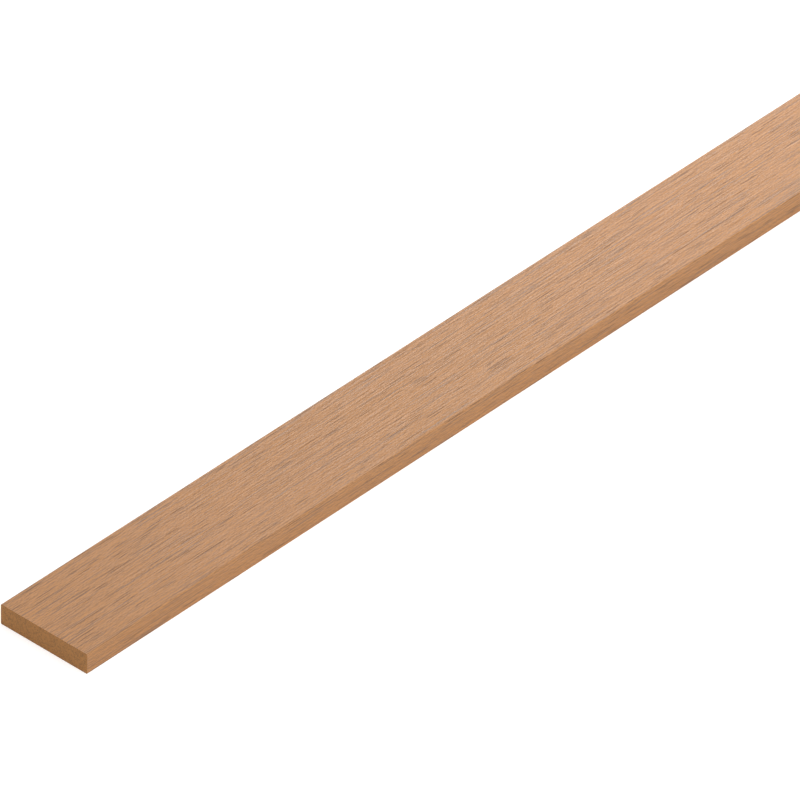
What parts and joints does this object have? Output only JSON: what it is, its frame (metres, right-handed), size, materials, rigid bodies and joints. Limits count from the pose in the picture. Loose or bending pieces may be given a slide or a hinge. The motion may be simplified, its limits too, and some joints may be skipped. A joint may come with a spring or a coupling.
{
  "type": "composite trim strip",
  "caption": "Flat wood-plastic composite trim strip with a wood-grain face, eased long edges and square sawn ends.",
  "frame": {"origin": "middle of the back, which lies on the floor", "axes": "+X along the strip, +Y across its width, +Z out of the face that shows when it is fixed"},
  "size_m": [2, 0.048, 0.01],
  "materials": {
    "composite": "satin"
  },
  "bodies": {
    "root": {"trim_strip": "composite"}
  },
  "joints": []
}
